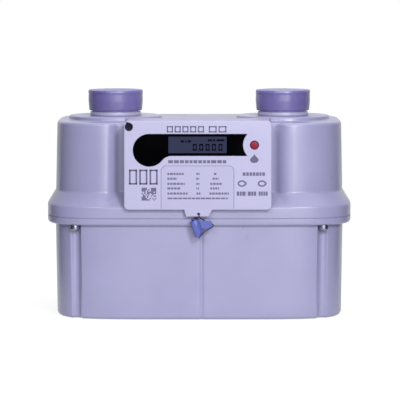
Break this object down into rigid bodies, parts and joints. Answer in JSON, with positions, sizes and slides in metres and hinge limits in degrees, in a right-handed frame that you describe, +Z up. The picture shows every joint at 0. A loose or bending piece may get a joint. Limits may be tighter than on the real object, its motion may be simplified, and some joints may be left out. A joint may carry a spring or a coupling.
{
  "type": "two-pipe diaphragm gas meter",
  "caption": "Two-pipe diaphragm gas meter in a flanged two-part cast case with capped top connections and a front electronic index.",
  "frame": {"origin": "on the flat base of the case, midway between the axes of the two pipe connections", "axes": "+X from the inlet to the outlet connection, +Y to the back, so the index faces -Y, +Z up along the connections"},
  "size_m": [0.3228, 0.2091, 0.237],
  "materials": {
    "case_paint": "satin powder coat on a die casting",
    "cap": "moulded, slightly soft",
    "cover": "fine satin moulding",
    "window": "polished black",
    "display": "unlit liquid crystal",
    "button": "moulded",
    "seal_plug": "moulded",
    "seal_clear": "tinted, see-through",
    "steel": "zinc plated",
    "brass": "machined",
    "rubber": "matt black",
    "membrane": "rubbered cloth",
    "moulding": "plain moulding",
    "bearing_black": "phenolic",
    "board": "solder mask",
    "cell": "shrink sleeve"
  },
  "bodies": {
    "case": {"battery_cell": "cell", "case_gasket": "rubber", "chamber_body": "moulding", "circuit_board": "board", "cover_screw": "steel", "cover_seal_plug": "seal_plug", "crank_bracket": "moulding", "diaphragm_left": "membrane", "diaphragm_right": "membrane", "diaphragm_ring_left": "moulding", "diaphragm_ring_right": "moulding", "display_window": "window", "flange_screw_1": "steel", "flange_screw_2": "steel", "flange_screw_3": "steel", "flange_screw_4": "steel", "front_chamber_cover": "moulding", "index_cover": "cover", "index_gasket": "rubber", "index_housing": "cover", "index_screw_left": "steel", "index_screw_right": "steel", "inlet_connection": "case_paint", "lcd_module": "display", "lower_case": "case_paint", "outlet_connection": "case_paint", "outlet_riser": "moulding", "rear_chamber_cover": "moulding", "riser_seal": "rubber", "rod_bush_left": "brass", "rod_bush_right": "brass", "shutoff_body": "moulding", "shutoff_motor": "steel", "unit_rail_left": "rubber", "unit_rail_right": "rubber", "upper_case": "case_paint", "valve_table": "moulding"},
    "inlet_cap": {"inlet_cap": "cap"},
    "outlet_cap": {"outlet_cap": "cap"},
    "button": {"push_button": "button"},
    "hanging_seal": {"seal_body": "seal_clear", "seal_rotor": "seal_clear", "seal_wire": "steel"},
    "shutoff_plunger": {"shutoff_plunger": "moulding", "shutoff_seal": "rubber"},
    "crank": {"crank_wheel": "brass"},
    "flag_left": {"flag_rod_left": "steel", "flag_arm_left": "brass"},
    "flag_right": {"flag_rod_right": "steel", "flag_arm_right": "brass"},
    "drive_link_left": {"drive_link_left": "steel"},
    "drive_link_right": {"drive_link_right": "steel"},
    "diaphragm_plate_left": {"diaphragm_plate_left": "steel"},
    "diaphragm_plate_right": {"diaphragm_plate_right": "steel"},
    "slide_valve_left": {"slide_valve_left": "bearing_black"},
    "slide_valve_right": {"slide_valve_right": "bearing_black"},
    "valve_link_left": {"valve_link_left": "steel"},
    "valve_link_right": {"valve_link_right": "steel"}
  },
  "joints": [
    {"name": "inlet_cap_lift", "type": "slide", "parent": "case", "child": "inlet_cap", "axis": [0, 0, 1], "range_m": [0, 0.04]},
    {"name": "outlet_cap_lift", "type": "slide", "parent": "case", "child": "outlet_cap", "axis": [0, 0, 1], "range_m": [0, 0.04]},
    {"name": "button_press", "type": "slide", "parent": "case", "child": "button", "axis": [0, 1, 0], "range_m": [0, 0.0012], "stiffness_N_per_m": 600, "springref_m": -0.0008},
    {"name": "seal_swing", "type": "hinge", "parent": "case", "child": "hanging_seal", "pos_m": [-0.0007, -0.1035, 0.1127], "axis": [0, 1, 0], "range_deg": [-18, 9]},
    {"name": "shutoff_close", "type": "slide", "parent": "case", "child": "shutoff_plunger", "axis": [0, 0, 1], "range_m": [0, 0.016]},
    {"name": "crank_spin", "type": "hinge", "parent": "case", "child": "crank", "pos_m": [0, -0.0204, 0.1196], "axis": [0, 0, 1], "continuous": true},
    {"name": "flag_left_swing", "type": "hinge", "parent": "case", "child": "flag_left", "pos_m": [-0.024, 0.046, 0.0696], "axis": [0, 0, 1], "range_deg": [-12, 12]},
    {"name": "flag_right_swing", "type": "hinge", "parent": "case", "child": "flag_right", "pos_m": [0.024, 0.046, 0.0696], "axis": [0, 0, 1], "range_deg": [-12, 12]},
    {"name": "diaphragm_left_stroke", "type": "slide", "parent": "case", "child": "diaphragm_plate_left", "axis": [0, 1, 0], "range_m": [-0.01, 0.01], "deforming": ["diaphragm_left"]},
    {"name": "diaphragm_right_stroke", "type": "slide", "parent": "case", "child": "diaphragm_plate_right", "axis": [0, 1, 0], "range_m": [-0.01, 0.01], "deforming": ["diaphragm_right"]},
    {"name": "drive_link_left_pivot", "type": "hinge", "parent": "flag_left", "child": "drive_link_left", "pos_m": [-0.04521, 0.02479, 0.1362], "axis": [0, 0, 1], "range_deg": [-15, 15]},
    {"name": "drive_link_right_pivot", "type": "hinge", "parent": "flag_right", "child": "drive_link_right", "pos_m": [0.04521, 0.02479, 0.139], "axis": [0, 0, 1], "range_deg": [-15, 15]},
    {"name": "slide_valve_left_stroke", "type": "slide", "parent": "case", "child": "slide_valve_left", "axis": [1, 0, 0], "range_m": [-0.0065, 0.0065]},
    {"name": "slide_valve_right_stroke", "type": "slide", "parent": "case", "child": "slide_valve_right", "axis": [0, 1, 0], "range_m": [-0.0065, 0.0065]},
    {"name": "valve_link_left_pivot", "type": "hinge", "parent": "slide_valve_left", "child": "valve_link_left", "pos_m": [-0.034, -0.0204, 0.1276], "axis": [0, 0, 1], "range_deg": [-15, 15]},
    {"name": "valve_link_right_pivot", "type": "hinge", "parent": "slide_valve_right", "child": "valve_link_right", "pos_m": [0, 0.014, 0.13], "axis": [0, 0, 1], "range_deg": [-15, 15]}
  ],
  "couplings": [
    {"joint": "diaphragm_left_stroke", "follows": "flag_left_swing", "m_per_rad": -0.046},
    {"joint": "diaphragm_right_stroke", "follows": "flag_right_swing", "m_per_rad": 0.046}
  ]
}
